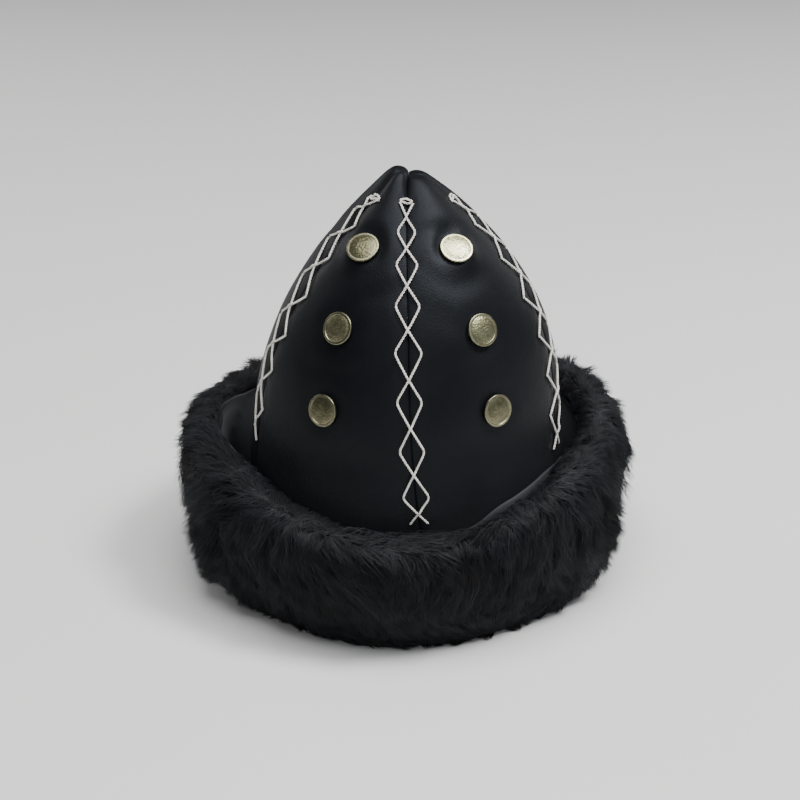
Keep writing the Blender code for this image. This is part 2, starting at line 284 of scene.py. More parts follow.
CUFF_FOOT_RADIUS = 0.0970
CUFF_FLANGE_RADIUS = 0.0905
CUFF_COLUMNS = 168

# Section of the facing: how far its wall has spread from foot to rim at each share of the rim's height
FACING_STATIONS = table(
    "level spread",
    (0.00, 0.00),
    (0.25, 0.10),
    (0.50, 0.35),
    (0.75, 0.68),
    (1.00, 1.00),
)
FACING_ROWS = 16

# Section of the fur from the facing's foot along the floor, up, and over the rim: level is 0 at the
# floor, 1 at the rim and 2 at the crest, and reach is a share of the fur's depth
FUR_STATIONS = table(
    "level reach",
    (0.00, 0.00),
    (0.00, 0.24),
    (0.04, 0.58),
    (0.15, 0.88),
    (0.34, 1.04),
    (0.56, 1.07),
    (0.78, 1.09),
    (0.96, 0.99),
    (1.72, 0.78),
    (2.00, 0.36),
    (1.30, 0.02),
)
FUR_STEP = 0.004
HIDE_SHARE = 0.70
HIDE_ROWS = 40
HIDE_OUTER_ROWS = 30

# The facing stands up into the fur by a share of the crest's height. Its dark edge is rolled towards the
# crown, and its edge and its wall wave a little. Below the edge its side towards the crown is painted
# lighter, as painted light against the shade in the gap by the crown, and a band down from the edge is
# painted pale.
FACING_RISE = 0.10
RIM_ROLL = 0.0014
RIM_ROLL_FROM = 0.90
RIM_ROUND = 0.0009
RIM_EDGE_DEPTH = 0.0030
RIM_LIGHT_DEPTH = 0.0070
CREVICE_LIGHT = 0.6
RIM_WAVES = table(
    "count height phase",
    (5, 0.0007, 0.4),
    (9, 0.0006, 1.9),
    (17, 0.0004, 3.1),
    (31, 0.00025, 0.7),
)
FACING_WAVES = table(
    "count height phase",
    (7, 0.0018, 1.1),
    (13, 0.0018, 2.3),
    (23, 0.0015, 0.2),
)

# The rim stands bare of hair at the right front, where a band along its edge is painted lighter as a painted
# highlight, and partly bare at the left, where it flares out and is painted pale as painted light
BARE_STRETCHES = table(
    "azimuth half_width bare flare worn",
    (39, 20, 0.9, 0.0, 0.22),
    (-90, 24, 0.75, 1.0, 1.0),
)
BARE_RISE = 0.65
BARE_SHORTENING = 0.03
RIM_FLARE = 0.0035
RIM_FLARE_FROM = 0.65
FLARE_LIGHT_DEPTH = 0.0240
FLARE_EDGE_DEPTH = 0.0060

# The hair grows in clumps, in rows round the cuff. Each has short straight wool and a few guard hairs
# that bend over: how many, where along a hair its rings lie and how wide they are, its radius, where its
# root and tip lie as shares of the fur's depth, and how far it lies over.
HairKind = namedtuple("HairKind", "per_clump rings widths radius root_share tip_shares lay")
WOOL = HairKind(36, (0.0,), (1.0,), 0.00036, 0.70, (0.97, 1.07), 0.0125)
GUARD_HAIR = HairKind(3, (0.0, 0.5), (1.0, 0.72), 0.00030, 0.70, (0.93, 1.02), 0.0140)
CLUMPS_AROUND = 150
CLUMPS_UP = 27
CLUMPS_FROM = 0.10
CLUMPS_TO = 0.98
HAIR_SPREAD = 0.8
HAIR_GATHER = 0.72
HAIR_STRAY = 0.10
HAIR_BEND = 0.38
HAIR_SHADE_SCATTER = 0.06
HAIR_THICKNESS = (0.75, 1.2)
HAIR_SIDES = 3
HAIR_SEED = 11
LAY_RANGE = (0.8, 1.2)
LOWEST_TIP = 0.02
TUFT_POINT = 0.13
STRAY_TUFTS = 0.28
STRAY_TUFT_OUT = 0.15
NAP = 0.50
FLOOR_CLEARANCE = 0.0006

# How clumps vary: their mean, how much they drift round the cuff, and how much neighbours differ
Varied = namedtuple("Varied", "mean drift scatter")
LEAN_ASIDE = Varied(0.0, 0.50, 0.20)
LEAN_DOWN = Varied(0.85, 0.30, 0.15)
TIP_OUT = Varied(0.0, 0.03, 0.05)
SHADE = Varied(0.42, 0.20, 0.16)
DRIFT_WAVES = 6
DRIFT_AROUND = (2, 14)
DRIFT_UP = 4

# Neighbouring clumps join in locks, which stand out and lean together, and whose shade rises and falls
# together as a painted sheen
LOCKS_FINER = 4
LOCK_WAVES = 8
LOCK_OUT = 0.03
LOCK_LEAN = 0.35
LOCK_SHADE = 0.22

# The hair is parted along the crest, and what grows on its inner side leans in over the rim. The hair on the
# crest is painted darker, as painted shade.
CREST_FROM = 0.80
CREST_TO = 0.92
CREST_DOWN = -0.45
CREST_LEAN = 0.0055
CREST_RISE = 0.0012
CREST_SHADE = 0.25
OVER_RIM_RANGE = (0.5, 1.0)

# Near the floor some clumps splay outwards in small tufts
FOOT_SPLAY = 0.0100
SPLAY_TO = 0.32
SPLAY_FADE = 0.14

# Where the fur is fluffed out: the middle of each place in degrees and along its section, its half
# widths, and the share of the fur's depth that it adds
FLUFFED = table(
    "azimuth half_width along half_along out",
    (110, 32, 0.72, 0.14, 0.16),
    (93, 18, 0.62, 0.10, -0.34),
    (-68, 14, 0.38, 0.12, 0.08),
    (-60, 10, 0.22, 0.09, -0.24),
)

# Where the hair is combed aside: the middle of each stretch in degrees, its half width and its lean
COMBED = table(
    "azimuth half_width lean",
    (-15, 22, 0.8),
    (40, 25, -0.3),
    (-75, 15, -0.4),
    (150, 30, 0.5),
    (-140, 25, -0.5),
)

# The sectors of the fur, each as wide as the next, from the left side on
FUR_SECTORS = (
    "fur_front_left", "fur_front", "fur_front_right", "fur_back_right", "fur_back", "fur_back_left",
)
SECTORS_FROM = -90


def mix(first, last, share):
    return first + (last - first) * share


def ramp(value, low=0.0, high=1.0):
    """A smooth rise from 0 at low to 1 at high."""
    share = np.clip((value - low) / (high - low), 0.0, 1.0)
    return share * share * (3 - 2 * share)


def bell(off):
    """A smooth bump, 1 in the middle and nearly 0 from 2 on."""
    return np.exp(-(off**2))


def smooth_through(values, place):
    """The values at places, 0 to 1, on a smooth curve through evenly spaced values."""
    values = np.asarray(values, float)
    spans = len(values) - 1
    span = np.clip((place * spans).astype(int), 0, spans - 1)
    share = place * spans - span
    start, end = values[span], values[span + 1]
    start_slope = (end - values[np.maximum(span - 1, 0)]) / 2
    end_slope = (values[np.minimum(span + 2, spans)] - start) / 2
    square, cube = share**2, share**3
    sloped = start_slope * (cube - 2 * square + share) + end_slope * (cube - square)
    return mix(start, end, 3 * square - 2 * cube) + sloped


def lengths(vectors):
    return np.linalg.norm(vectors, axis=-1)


def unit(vectors):
    return vectors / np.maximum(lengths(vectors)[..., None], 1e-12)


# Blender helpers


def new_piece(name, data):
    piece = bpy.data.objects.new(name, data)
    bpy.context.scene.collection.objects.link(piece)
    return piece


def corners_of(piece):
    points = np.empty(len(piece.data.vertices) * 3)
    piece.data.vertices.foreach_get("co", points)
    return points.reshape(-1, 3)


def set_corners(piece, points):
    piece.data.vertices.foreach_set("co", np.asarray(points, float).ravel())
    piece.data.update()


def add_sheet(name, columns, rows, place, inside=False):
    """A sheet of columns by rows faces, whose corners place() sets from their shares across and up.

    Corners that meet are joined, and its faces look outwards, or inwards if inside is set.
    """
    bpy.ops.mesh.primitive_grid_add(x_subdivisions=columns, y_subdivisions=rows, size=1, location=(0, 0, 0))
    piece = bpy.context.object
    piece.name = piece.data.name = name
    flat = corners_of(piece)
    set_corners(piece, place(flat[:, 0] + 0.5, flat[:, 1] + 0.5))
    bpy.ops.object.mode_set(mode="EDIT")
    bpy.ops.mesh.select_all(action="SELECT")
    bpy.ops.mesh.remove_doubles(threshold=MERGE)
    bpy.ops.mesh.normals_make_consistent(inside=inside)
    bpy.ops.object.mode_set(mode="OBJECT")
    return piece


def modify(piece, kind, **settings):
    """Change the active piece by a modifier."""
    modifier = piece.modifiers.new(kind, kind)
    for name, value in settings.items():
        setattr(modifier, name, value)
    bpy.ops.object.modifier_apply(modifier=kind)


def thicken(piece, inner_material=0):
    """Give a sheet a leather wall, inwards from its face."""
    modify(
        piece, "SOLIDIFY", thickness=LEATHER, offset=-1.0, material_offset=inner_material,
        use_even_offset=True, use_quality_normals=True,
    )


def add_share(piece, name, shares):
    """Keep a share for each corner, for the material to read."""
    layer = piece.data.attributes.new(name, "FLOAT", "POINT")
    layer.data.foreach_set("value", np.asarray(shares, np.float32))


def paint(piece, *finishes):
    for finish in finishes:
        piece.data.materials.append(finish)


def hand_over(piece, slot, *nodes):
    """Let a finished piece move with the hat, and stand for its plain solids."""
    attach(piece, "root")
    if nodes:
        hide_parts(*nodes)


# Materials


class Finish:
    """A material and its nodes. Each input of a node is given as a value, or as the socket that feeds it."""

    def __init__(self, name):
        self.material = bpy.data.materials.new(name)
        self.material.use_nodes = True
        self.tree = self.material.node_tree

    def feed(self, fed, inputs):
        for name, value in inputs.items():
            if isinstance(value, bpy.types.NodeSocket):
                self.tree.links.new(value, fed.inputs[name])
            else:
                is_colour = isinstance(value, tuple)
                fed.inputs[name].default_value = (*value, 1.0) if is_colour else value

    def node(self, kind, inputs, **settings):
        made = self.tree.nodes.new(kind)
        for key, value in settings.items():
            setattr(made, key, value)
        self.feed(made, inputs)
        return made

    def surface(self, inputs):
        """Give the shader its inputs, and hand back the material."""
        self.feed(self.tree.nodes["Principled BSDF"], inputs)
        return self.material

    def place(self):
        return self.node("ShaderNodeTexCoord", {}).outputs["Object"]

    def noise(self, scale, detail, distortion=0.0):
        inputs = {"Vector": self.place(), "Scale": scale, "Detail": detail, "Distortion": distortion}
        return self.node("ShaderNodeTexNoise", inputs).outputs["Fac"]

    def cells(self, scale, feature):
        inputs = {"Vector": self.place(), "Scale": scale}
        return self.node("ShaderNodeTexVoronoi", inputs, feature=feature).outputs["Distance"]

    def share(self, name):
        """A share that the piece keeps for each of its corners."""
        return self.node("ShaderNodeAttribute", {}, attribute_name=name).outputs["Fac"]

    def ranged(self, value, low, high, from_low=0.0, from_high=1.0):
        inputs = {"Value": value, "From Min": from_low, "From Max": from_high, "To Min": low, "To Max": high}
        return self.node("ShaderNodeMapRange", inputs).outputs["Result"]

    def blended(self, share, first, last):
        inputs = {0: share, "A": first, "B": last}
        return self.node("ShaderNodeMix", inputs, data_type="RGBA").outputs["Result"]

    def bumped(self, strength, distance, height, under=None, invert=False):
        inputs = {"Strength": strength, "Distance": distance, "Height": height}
        if under is not None:
            inputs["Normal"] = under
        return self.node("ShaderNodeBump", inputs, invert=invert).outputs["Normal"]


def leather_material(leather):
    """Leather with a fine grain, pores, small creases, and patches that are a little worn."""
    finish = Finish(leather.name)
    patches = finish.noise(scale=22.0, detail=4.0)
    cells = finish.cells(scale=620.0, feature="DISTANCE_TO_EDGE")
    pores = finish.noise(scale=900.0, detail=3.0)
    wrinkles = finish.noise(scale=75.0, detail=5.0, distortion=0.7)
    colour = finish.blended(finish.ranged(patches, 0.0, 1.0, 0.3, 0.75), leather.dark, leather.light)
    # Painted light: a lighter colour blended in where shade falls by the cuff, and where the facing's rim
    # catches the light
    if leather.worn:
        colour = finish.blended(finish.share("worn"), colour, leather.worn)
    normal = finish.bumped(leather.grain, 0.00012, finish.ranged(cells, 0.0, 1.0, 0.0, 0.25))
    normal = finish.bumped(leather.grain, 0.00006, pores, normal)
    return finish.surface({
        "Base Color": colour,
        "Roughness": finish.ranged(patches, leather.smooth, leather.rough, 0.3, 0.7),
        "Specular IOR Level": leather.gloss,
        "Specular Tint": (0.82, 0.90, 1.0),
        "Normal": finish.bumped(0.35, 0.0006, wrinkles, normal),
    })


def brass_material():
    """Aged brass: a pebbled face with a dark patina in its pits, and a rim worn bright, partly a painted
    highlight. Each stud is painted brighter where more light falls on it.
    """
    finish = Finish("aged_brass_and_painted_shine")
    rim = finish.share("rim")
    pits = finish.cells(scale=950.0, feature="SMOOTH_F1")
    stains = finish.ranged(finish.noise(scale=260.0, detail=4.0), 0.0, 1.0, 0.35, 0.7)
    dull = finish.blended(stains, (0.085, 0.080, 0.045), (0.15, 0.143, 0.088))
    # The rim is lighter, partly from wear and partly as a painted highlight
    dull = finish.blended(rim, dull, (0.21, 0.20, 0.13))
    # Painted light: each stud blends from its aged colour towards bright brass by how much light falls on it
    painted_bright = finish.blended(stains, (0.56, 0.54, 0.32), (0.74, 0.72, 0.47))
    aged_and_lit = finish.blended(finish.share("shine"), dull, painted_bright)
    return finish.surface({
        "Base Color": finish.blended(finish.ranged(pits, 0.0, 0.5, 0.35, 0.9), aged_and_lit, (0.06, 0.055, 0.030)),
        "Metallic": 1.0,
        "Roughness": finish.ranged(rim, 0.42, 0.34),
        "Normal": finish.bumped(finish.ranged(rim, 0.8, 0.1), 0.00025, pits, invert=True),
    })


def lace_material():
    """Waxed off-white thread, a little grey in places."""
    finish = Finish("lace_thread")
    wear = finish.ranged(finish.noise(scale=300.0, detail=3.0), 0.0, 1.0, 0.3, 0.7)
    return finish.surface({
        "Base Color": finish.blended(wear, (0.62, 0.59, 0.53), (0.86, 0.84, 0.79)),
        "Roughness": 0.75,
        "Normal": finish.bumped(0.4, 0.0001, finish.noise(scale=4000.0, detail=2.0)),
    })


def fur_material():
    """Black hair, each hair of its own shade, painted darker at the root as painted shade deep in the pile,
    and lighter and bluer towards the tips as a painted sheen.
    """
    finish = Finish("fur_black")
    along, shade = finish.share("along"), finish.share("shade")
    # Painted shade and sheen: darker at the root, deep in the pile, and lighter and bluer towards the tip
    dark = finish.blended(along, (0.0035, 0.0035, 0.0045), (0.0065, 0.0068, 0.0083))
    light = finish.blended(along, (0.007, 0.0073, 0.0095), (0.0165, 0.0185, 0.0235))
    return finish.surface({
        "Base Color": finish.blended(shade, dark, light),
        "Roughness": finish.ranged(shade, 0.70, 0.55),
        "Specular IOR Level": 0.25,
    })


def hide_material():
    """The matted underfur that shows between the hairs."""
    finish = Finish("underfur")
    matting = finish.noise(scale=320.0, detail=5.0, distortion=1.2)
    return finish.surface({
        "Base Color": finish.blended(matting, (0.006, 0.006, 0.007), (0.016, 0.016, 0.019)),
        "Roughness": 0.9,
        "Normal": finish.bumped(0.9, 0.0015, matting),
    })


# Where things lie on the crown


def round_crown(azimuth, radius, height, lean=0.0):
    """Points about the crown's axis, at azimuths in radians from the front."""
    x = CROWN_X + lean + radius * np.sin(azimuth)
    return np.stack([x, -radius * np.cos(azimuth), height + 0 * azimuth], axis=-1)


def seam_azimuth(seam, up):
    """Azimuth of a seam in radians at shares of the way up."""
    return np.radians(smooth_through(seam, up))


def gore_width(gore, up):
    """How wide a gore is along the leather at shares of the way up."""
    radius = smooth_through([level.panel_radius for level in CROWN_LEVELS], up)
    return radius * (seam_azimuth(gore.last, up) - seam_azimuth(gore.first, up))


def gore_points(gore, across, up, seams_sunk=True):
    """Points of the outer face of a gore, by their shares of the way across and of the way up."""
    seam_radius, seam_height, panel_radius, panel_height, lean = (
        smooth_through(column, up) for column in zip(*CROWN_LEVELS)
    )
    first, last = seam_azimuth(gore.first, up), seam_azimuth(gore.last, up)
    power = mix(PANEL_FULLNESS, TIP_FULLNESS, ramp((up - TIP_FULLNESS_FROM) / TIP_FULLNESS_OVER))
    fullness = np.clip(np.sin(np.pi * np.clip(across, 0.0, 1.0)), 0.0, 1.0) ** power
    radius = mix(seam_radius, panel_radius, fullness)
    if seams_sunk:
        from_seam = np.minimum(across, 1 - across) * (last - first) * radius
        dip = SEAM_DIP * bell(from_seam / SEAM_DIP_WIDTH) + EDGE_ROUND * bell(from_seam / EDGE_ROUND_WIDTH)
        radius = radius - np.minimum(radius / SEAM_DIP_FADE, 1.0) * dip
    dropped = gore.tip_drop * ramp(up, TIP_DROP_FROM, TIP_DROP_FULL) * (1 - ramp(up, TIP_DROP_TO, 1.0))
    height = mix(seam_height, panel_height - dropped, fullness)
    return round_crown(mix(first, last, across), radius, height, lean)


def gore_normals(gore, across, up):
    """Outward directions of a gore's face, without its sunken seams."""
    left, right = np.clip(across - GORE_STEP, 0, 1), np.clip(across + GORE_STEP, 0, 1)
    down, over = np.clip(up - GORE_STEP, 0, 1), np.clip(up + GORE_STEP, 0, 1)
    around = gore_points(gore, right, up, False) - gore_points(gore, left, up, False)
    upwards = gore_points(gore, across, over, False) - gore_points(gore, across, down, False)
    return unit(np.cross(around, upwards))


def up_at_height(gore, across, height):
    """Shares of the way up a gore at which its face reaches heights."""
    low, high = np.zeros(len(height)), np.ones(len(height))
    for _ in range(HALVINGS):
        middle = (low + high) / 2
        short = gore_points(gore, across, middle, False)[:, 2] < height
        low, high = np.where(short, middle, low), np.where(short, high, middle)
    return (low + high) / 2


def lace_holes(lacing):
    """The left and right hole of each pair, as distances off the seam and heights, the top pair level."""
    tilts = [0.0] + [lacing.skew / 2] * (len(lacing.pairs) - 1)
    return [
        ((-pair.left, pair.height + tilt), (pair.right, pair.height - tilt))
        for pair, tilt in zip(lacing.pairs, tilts)
    ]


def lace_ground(lacing, off, height):
    """Points of the leather and its outward directions, at distances off a lacing's seam and heights."""
    points, outward = [], []
    for gore, seam_side in ((lacing.left_gore, 1.0), (lacing.right_gore, 0.0)):
        up = up_at_height(gore, np.full(len(height), seam_side), height)
        across = np.abs(seam_side - np.abs(off) / gore_width(gore, up))
        points.append(gore_points(gore, across, up, False))
        outward.append(gore_normals(gore, across, up))
    left = (off < 0)[:, None]
    return np.where(left, *points), np.where(left, *outward)


def stud_ground(gore, place):
    """Where a stud sits on its gore, and the outward direction there."""
    seam_side = float(gore.stud_from_last)
    from_seam = place.left_of_seam if gore.stud_from_last else place.right_of_seam
    across = np.array([0.5])
    for _ in range(STUD_TRIES):
        up = up_at_height(gore, across, np.array([place.height]))
        across = np.abs(seam_side - from_seam / gore_width(gore, up))
    return gore_points(gore, across, up)[0], gore_normals(gore, across, up)[0]


def stud_facing(gore, place, outward):
    """Which way the face of a stud looks, where the leather faces outward."""
    right = unit(np.cross([0.0, 0.0, 1.0], outward))
    upwards = np.cross(outward, right) * math.tan(math.radians(place.turned_up))
    seam_way = 1 if gore.stud_from_last else -1
    return unit(outward + upwards + right * math.tan(math.radians(place.turned_in)) * seam_way)


# Where things lie on the cuff, at shares of a full turn, counted from the back


def turn_of(points):
    return (np.arctan2(points[:, 0] - CROWN_X, -points[:, 1]) / math.tau + 0.5) % 1.0


def azimuth_of(turn):
    """Degrees from the front."""
    return FULL_TURN * (turn % 1.0) - FULL_TURN / 2


def cuff_sizes(turn):
    """The cuff's sizes, with the azimuth in radians."""
    azimuth = azimuth_of(turn)
    places = np.array(CUFF_PLACES)
    row = np.clip(np.searchsorted(places[:, 0], azimuth), 1, len(places) - 1)
    before, after = places[row - 1], places[row]
    share = ramp(azimuth, before[:, 0], after[:, 0])
    return CuffPlace(np.radians(azimuth), *mix(before, after, share[:, None])[:, 1:].T)


def facing_radius(sizes, level):
    """Radius of the crown side of the facing at shares of the rim's height."""
    levels, spreads = zip(*FACING_STATIONS)
    return mix(CUFF_FOOT_RADIUS, sizes.rim_radius, np.interp(level, levels, spreads))


def waved(turn, waves):
    return sum(wave.height * np.sin(math.tau * wave.count * turn + wave.phase) for wave in waves)


def rim_bareness(turn):
    """How bare of hair the rim is, how far it flares and how much painted light it takes, from 0 to 1."""
    near = np.array([bell((azimuth_of(turn) - row.azimuth) / row.half_width) for row in BARE_STRETCHES])
    return np.array([(row.bare, row.flare, row.worn) for row in BARE_STRETCHES]).T @ near


def rim_top(turn):
    """Height of the top of the facing's rim."""
    sizes = cuff_sizes(turn)
    rise = mix(FACING_RISE, BARE_RISE, rim_bareness(turn)[0])
    return sizes.rim_height + rise * sizes.crest + waved(turn, RIM_WAVES)


# The leather


def seam_spaced(share):
    """Shares of the way across a gore, drawn towards its seams."""
    return mix(share, (1 - np.cos(np.pi * share)) / 2, SEAM_CROWDING)


def fold_depth(gore, points, across, up):
    """How deep the soft folds press into a gore at its points."""
    depth = np.zeros(len(points))
    from_first = across * gore_width(gore, up)
    for fold in FOLDS:
        if fold.gore is gore:
            turn = math.radians(fold.turn)
            right, rise = from_first - fold.from_first, points[:, 2] - fold.height
            along = (right * math.cos(turn) + rise * math.sin(turn)) / fold.length
            off = rise * math.cos(turn) - right * math.sin(turn) + fold.bow * along**2
            depth += fold.depth * bell(along) * bell(off / fold.width)
    return depth


def stud_press(gore, points):
    """How deep the leather is pressed in round the studs of a gore."""
    depth = np.zeros(len(points))
    for place in STUD_PLACES:
        at, outward = stud_ground(gore, place)
        distance = lengths(points - at)
        if place.turned_up:
            faced = stud_facing(gore, place, outward)
            depth += (points - at) @ faced / (outward @ faced) * bell((distance / STUD_FLAT) ** 3)
        depth += STUD_PRESS * bell((distance - STUD_RADIUS) / STUD_PRESS_WIDTH)
        depth -= STUD_PUFF * bell((distance - STUD_PUFF_AT) / STUD_PUFF_WIDTH)
    return depth


def hole_dimples(gore, points):
    """How deep the lacing pulls the leather in round its holes."""
    depth = np.zeros(len(points))
    for lacing in LACINGS:
        for side, side_gore in enumerate((lacing.left_gore, lacing.right_gore)):
            if side_gore is gore:
                holes = np.array([pair[side] for pair in lace_holes(lacing)])
                for hole in lace_ground(lacing, *holes.T)[0]:
                    depth += HOLE_DEPTH * bell(lengths(points - hole) / HOLE_WIDTH)
    return depth


def make_gore(gore, outside, inside):
    """A leather wall with its folds, pressed in by studs and lacing, and painted lighter towards the cuff's
    rim, as painted light against the shade in the gap there.
    """

    def place(share, up):
        across = seam_spaced(share)
        points = gore_points(gore, across, up)
        inward = fold_depth(gore, points, across, up) + hole_dimples(gore, points) + stud_press(gore, points)
        return points - gore_normals(gore, across, up) * inward[:, None]

    piece = add_sheet(f"leather_{gore.name}", GORE_ACROSS, GORE_UP, place)
    paint(piece, outside, inside)
    thicken(piece, inner_material=1)
    bpy.ops.object.shade_smooth()
    points = corners_of(piece)
    # Painted light: lighter towards the cuff's rim, against the shade in the gap between crown and cuff
    add_share(piece, "worn", ramp(1 - (points[:, 2] - rim_top(turn_of(points))) / PAINTED_LIGHT_HEIGHT))
    first, last = (seam_azimuth(seam, np.array([0.5]))[0] for seam in (gore.first, gore.last))
    middle = mix(first, last, 0.5)
    apart = SEAM_GAP / 2 / math.sin((last - first) / 2)
    set_corners(piece, points + apart * np.array([math.sin(middle), -math.cos(middle), 0.0]))
    hand_over(piece, "leather_black", f"gore_{gore.name}")


def make_facing(outside):
    """The leather on the crown's side of the cuff, with a flange under the hem and a rolled rim, painted
    lighter as painted light.
    """

    def place(turn, along):
        sizes = cuff_sizes(turn)
        row = np.round(along * FACING_ROWS)
        level = np.maximum(row - 1, 0) / (FACING_ROWS - 1)
        flare = rim_bareness(turn)[1]
        radius = facing_radius(sizes, level) + level * (1 - level) * waved(turn, FACING_WAVES)
        radius -= RIM_ROLL * (1 - flare) * ramp(level, RIM_ROLL_FROM, 1.0)
        radius += RIM_FLARE * flare * ramp(level, RIM_FLARE_FROM, 1.0)
        radius = np.where(row == 0, CUFF_FLANGE_RADIUS, radius)
        return round_crown(sizes.azimuth, radius, mix(LEATHER, rim_top(turn), level))

    piece = add_sheet("leather_cuff_facing", CUFF_COLUMNS, FACING_ROWS, place, inside=True)
    paint(piece, outside)
    thicken(piece)
    modify(piece, "BEVEL", width=RIM_ROUND, segments=3, limit_method="ANGLE", angle_limit=math.radians(50))
    bpy.ops.object.shade_smooth()
    points = corners_of(piece)
    turn = turn_of(points)
    top = rim_top(turn)
    below_edge = top - points[:, 2]
    _, flare, worn = rim_bareness(turn)
    radius = np.hypot(points[:, 0] - CROWN_X, points[:, 1])
    crown_side = radius < facing_radius(cuff_sizes(turn), points[:, 2] / top) + LEATHER / 2
    # Painted light: below its edge the side towards the crown is painted lighter, against the shade in the
    # gap by the crown
    crevice_light = CREVICE_LIGHT * ramp(below_edge / RIM_EDGE_DEPTH) * crown_side * (1 - flare)
    # Painted light: a pale band down from the edge, a painted highlight on the rim and painted light on the
    # flare's inner face
    edge = worn * ramp(1 - below_edge / mix(RIM_LIGHT_DEPTH, FLARE_LIGHT_DEPTH, flare))
    edge = edge * mix(1.0, ramp(below_edge / FLARE_EDGE_DEPTH), flare)
    add_share(piece, "worn", np.maximum(crevice_light, edge))
    hand_over(piece, "leather_facing", "cuff_facing")


# The lacing


def lace_path(lacing, corners, over_first):
    """Points of a thread that turns at corners, given as distances off the seam and heights."""
    corners = np.array(corners)
    ground, _ = lace_ground(lacing, *corners.T)
    parts = []
    for index, span in enumerate(lengths(np.diff(ground, axis=0))):
        share = np.linspace(0, 1, max(int(span / LACE_STEP), LACE_LEAST_STEPS), endpoint=False)
        spots = mix(corners[index], corners[index + 1], share[:, None])
        same = np.ones(len(share))
        parts.append(np.column_stack([spots, share, span * same, index * same]))
    *spots, share, span, order = np.concatenate(parts).T
    window = np.hanning(2 * LACE_TURN_SAMPLES + 3)[1:-1]
    padded = (np.pad(column, LACE_TURN_SAMPLES, mode="edge") for column in spots)
    rounded = [np.convolve(column, window / window.sum(), mode="valid") for column in padded]
    ground, outward = lace_ground(lacing, *rounded)
    lift = mix(LACE_SINK, LACE_LIFT, ramp(np.minimum(share, 1 - share) * span / LACE_RISE_LENGTH))
    over = ((order + over_first) % 2) * bell((share - 0.5) * span / LACE_OVER_LENGTH)
    return ground + outward * (lift + over * LACE_OVER)[:, None]


def twisted(path, ply):
    """The path of one ply of a thread that follows a path."""
    distance = np.concatenate([[0.0], np.cumsum(lengths(np.diff(path, axis=0)))])
    along = unit(np.gradient(path, axis=0))
    side = unit(np.cross(along, LACE_ASIDE))
    angle = (distance / LACE_PITCH * math.tau + ply * math.pi)[:, None]
    return path + LACE_PLY_APART * (side * np.cos(angle) + np.cross(along, side) * np.sin(angle))


def add_thread(name, paths, finish):
    """Round threads along paths, as one mesh."""
    curve = bpy.data.curves.new(name, "CURVE")
    curve.dimensions = "3D"
    curve.bevel_depth = LACE_PLY_RADIUS
    curve.bevel_resolution = 1
    curve.use_fill_caps = True
    for path in paths:
        spline = curve.splines.new("POLY")
        spline.points.add(len(path) - 1)
        spline.points.foreach_set("co", np.column_stack([path, np.ones(len(path))]).ravel())
    piece = new_piece(name, curve)
    bpy.ops.object.select_all(action="DESELECT")
    piece.select_set(True)
    bpy.context.view_layer.objects.active = piece
    bpy.ops.object.convert(target="MESH")
    bpy.ops.object.shade_smooth()
    piece = bpy.context.object
    paint(piece, finish)
    return piece


def make_lacing(lacing, finish):
    """Two threads that cross between each pair of holes and the next, with a bar and a loop at the top."""
    holes = lace_holes(lacing)
    threads = []
    for first_side in (0, 1):
        corners = [pair[(first_side + index) % 2] for index, pair in enumerate(holes)]
        threads.append(lace_path(lacing, corners, first_side))
    (left, height), (right, _) = holes[0]
    middle = (left + right) / 2
    raised = [(mix(end, middle, LACE_LOOP_IN), height + LACE_LOOP_RISE) for end in (left, right)]
    for corners in ([(left, height), (right, height)], [(left, height), *raised, (right, height)]):
        threads.append(lace_path(lacing, corners, 0))
    piece = add_thread(lacing.name, [twisted(path, ply) for path in threads for ply in (0, 1)], finish)
    hand_over(piece, "lacing_thread")


# The studs


def pick_faces(piece, wanted):
    """Select the faces that are wanted, and nothing else."""
    bpy.ops.mesh.select_mode(type="FACE")
    bpy.ops.mesh.select_all(action="DESELECT")
    bpy.ops.object.mode_set(mode="OBJECT")
    for face in piece.data.polygons:
        face.select = wanted(face)
    bpy.ops.object.mode_set(mode="EDIT")


def extrude_down(depth):
    bpy.ops.mesh.extrude_region_move(TRANSFORM_OT_translate={"value": (0, 0, -depth)})


